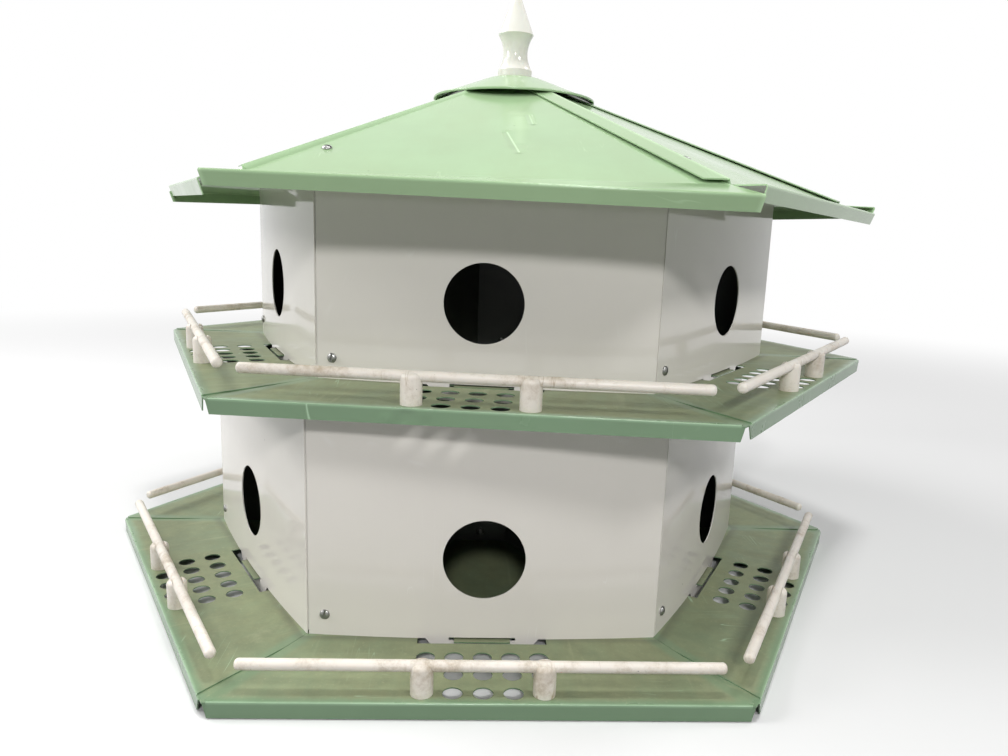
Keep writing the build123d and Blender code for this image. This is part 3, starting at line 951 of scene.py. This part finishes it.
class FinishPlastic(bpy.types.Operator):
    """Gives the rods, the posts and the finial their plastic"""

    bl_idname = "martin_house.finish_plastic"
    bl_label = "Finish the plastic"

    def execute(self, context):
        colours, wear = context.scene.house_colours, context.scene.house_wear
        rails = moulded_plastic(
            "rail_plastic", colours.rail_white, SEEDS["rail"], wear.rail_stain, DULLNESS["rail"]
        )
        for name in nodes_named("_perch_"):
            dress(name, rails)
        turned = moulded_plastic(
            "finial_plastic", colours.finial_white, SEEDS["finial"], FINIAL_STAIN, DULLNESS["finial"]
        )
        dress("finial", turned)
        return {"FINISHED"}


class AddScrews(bpy.types.Operator):
    """Adds the slotted screws of the walls, the roof and the cores"""

    bl_idname = "martin_house.add_screws"
    bl_label = "Add the screws"

    def execute(self, context):
        sizes = context.scene.house_screws
        zinc = plated_steel("screw_zinc", SEEDS["zinc"])
        form = screw_head(sizes)
        placed_copies("wall_screws", form, wall_screw_places(sizes), zinc)
        placed_copies("roof_screws", form, roof_screw_places(sizes), zinc)
        placed_copies("core_screws", form, core_screw_places(sizes), zinc)
        form.free()
        return {"FINISHED"}


class SetStage(bpy.types.Operator):
    """Adds the floor, the lamps, the world and the camera"""

    bl_idname = "martin_house.set_stage"
    bl_label = "Set the stage"

    def execute(self, context):
        stage = context.scene.house_stage
        add_floor(stage)
        add_world(stage)
        add_lamps()
        add_camera(stage)
        context.scene.view_settings.view_transform = "Standard"
        return {"FINISHED"}


def seen_rays(nodes):
    """1 for the rays of the camera, of gloss and of glass, which should see a white studio."""
    path = nodes.add("ShaderNodeLightPath").outputs
    seen = nodes.maths("MAXIMUM", path["Is Camera Ray"], path["Is Glossy Ray"])
    return nodes.maths("MAXIMUM", seen, path["Is Transmission Ray"])


def add_floor(stage):
    """A level pale floor under the house that turns white in the distance."""
    mesh = bmesh.new()
    bmesh.ops.create_grid(mesh, x_segments=1, y_segments=1, size=stage.floor_size / 2)
    bmesh.ops.translate(mesh, verts=mesh.verts, vec=(0, 0, cad_box[0].z - FLOOR_GAP))
    data = bpy.data.meshes.new("floor")
    mesh.to_mesh(data)
    mesh.free()
    floor = bpy.data.objects.new("floor", data)
    bpy.context.scene.collection.objects.link(floor)

    material = bpy.data.materials.new("floor_pale")
    material.use_nodes = True
    nodes = Nodes(material.node_tree)
    shader = material.node_tree.nodes["Principled BSDF"]
    seen = seen_rays(nodes)
    nodes.feed(shader.inputs["Base Color"], nodes.between(seen, stage.floor_bounce, stage.floor_shade))
    shader.inputs["Roughness"].default_value = 0.9
    shader.inputs["Specular IOR Level"].default_value = 0.1
    away = nodes.add("ShaderNodeVectorMath", operation="LENGTH")
    nodes.feed(away.inputs[0], nodes.add("ShaderNodeTexCoord").outputs["Object"])
    far = nodes.span(away.outputs["Value"], stage.floor_fade, 3.0 * stage.floor_fade)
    white = nodes.add("ShaderNodeEmission")
    joined = nodes.add("ShaderNodeMixShader")
    nodes.feed(joined.inputs[0], nodes.maths("MULTIPLY", far, seen))
    material.node_tree.links.new(shader.outputs[0], joined.inputs[1])
    material.node_tree.links.new(white.outputs[0], joined.inputs[2])
    material.node_tree.links.new(joined.outputs[0], material.node_tree.nodes["Material Output"].inputs[0])
    data.materials.append(material)


def add_world(stage):
    """Soft light from all round, and white where the camera, gloss or glass look past the house."""
    world = bpy.data.worlds.new("studio")
    bpy.context.scene.world = world
    world.use_nodes = True
    nodes = Nodes(world.node_tree)
    background = world.node_tree.nodes["Background"]
    background.inputs["Color"].default_value = (1.0, 1.0, 1.0, 1.0)
    nodes.feed(background.inputs["Strength"], nodes.between(seen_rays(nodes), stage.room_light, 1.0))


def add_lamp(name, turn, rise, size, power):
    """One lamp that faces the house: degrees to the right of its front, degrees up, size and power."""
    data = bpy.data.lights.new(name, "AREA")
    data.shape = "DISK"
    data.size = size
    data.energy = power
    turn, rise = math.radians(turn), math.radians(rise)
    way = Vector((math.sin(turn) * math.cos(rise), -math.cos(turn) * math.cos(rise), math.sin(rise)))
    lamp = bpy.data.objects.new(name, data)
    lamp.location = LAMP_AIM + way * LAMP_DISTANCE
    lamp.rotation_mode = "QUATERNION"
    lamp.rotation_quaternion = way.to_track_quat("Z", "Y")
    bpy.context.scene.collection.objects.link(lamp)


def add_lamps():
    """A small lamp in front that draws the eave's shadow, one on each side, and three higher ones."""
    for name, (turn, rise, size, power) in LAMPS.items():
        add_lamp(name, turn, rise, size, power)


def add_camera(stage):
    """The camera where the picture was taken from."""
    data = bpy.data.cameras.new("camera")
    data.lens = stage.lens
    data.sensor_width = 36.0
    data.clip_start = 0.01
    camera = bpy.data.objects.new("camera", data)
    bpy.context.scene.collection.objects.link(camera)
    turn, dip, roll = stage.camera_turn, stage.camera_dip, stage.camera_roll
    ahead = Vector((math.sin(turn) * math.cos(dip), math.cos(turn) * math.cos(dip), -math.sin(dip)))
    right = Vector((math.cos(turn), -math.sin(turn), 0.0))
    up = right.cross(ahead)
    side = right * math.cos(roll) + up * math.sin(roll)
    top = up * math.cos(roll) - right * math.sin(roll)
    axes = Matrix((side, top, -ahead)).transposed()
    camera.matrix_world = Matrix.Translation(Vector(stage.camera_place)) @ axes.to_4x4()
    bpy.context.scene.camera = camera


class HousePanel(bpy.types.Panel):
    """Lists the steps and their settings"""

    bl_idname = "VIEW3D_PT_martin_house"
    bl_label = "Martin House"
    bl_space_type = "VIEW_3D"
    bl_region_type = "UI"
    bl_category = "Martin House"

    def draw(self, context):
        for operator in OPERATORS:
            self.layout.operator(operator.bl_idname)
        for name in GROUPS:
            group = getattr(context.scene, name)
            box = self.layout.box()
            for key in group.bl_rna.properties.keys():
                if key not in ("rna_type", "name"):
                    box.prop(group, key)


GROUPS = {
    "house_colours": HouseColours,
    "house_wear": HouseWear,
    "house_form": HouseForm,
    "house_screws": HouseScrews,
    "house_stage": HouseStage,
}
OPERATORS = (PaintRoof, PaintDecks, PaintWalls, PaintInside, FinishPlastic, AddScrews, SetStage)


def register():
    """Registers the classes and hangs the settings on the scene."""
    for cls in (*GROUPS.values(), *OPERATORS, HousePanel):
        bpy.utils.register_class(cls)
    for name, group in GROUPS.items():
        setattr(bpy.types.Scene, name, PointerProperty(type=group))


def unregister():
    """Takes the settings and the classes away again."""
    for name in GROUPS:
        delattr(bpy.types.Scene, name)
    for cls in (HousePanel, *reversed(OPERATORS), *reversed(GROUPS.values())):
        bpy.utils.unregister_class(cls)


def main():
    """Runs every step in order."""
    register()
    bpy.ops.martin_house.paint_roof()
    bpy.ops.martin_house.paint_decks()
    bpy.ops.martin_house.paint_walls()
    bpy.ops.martin_house.paint_inside()
    bpy.ops.martin_house.finish_plastic()
    bpy.ops.martin_house.add_screws()
    bpy.ops.martin_house.set_stage()


if __name__ == "__main__":
    main()
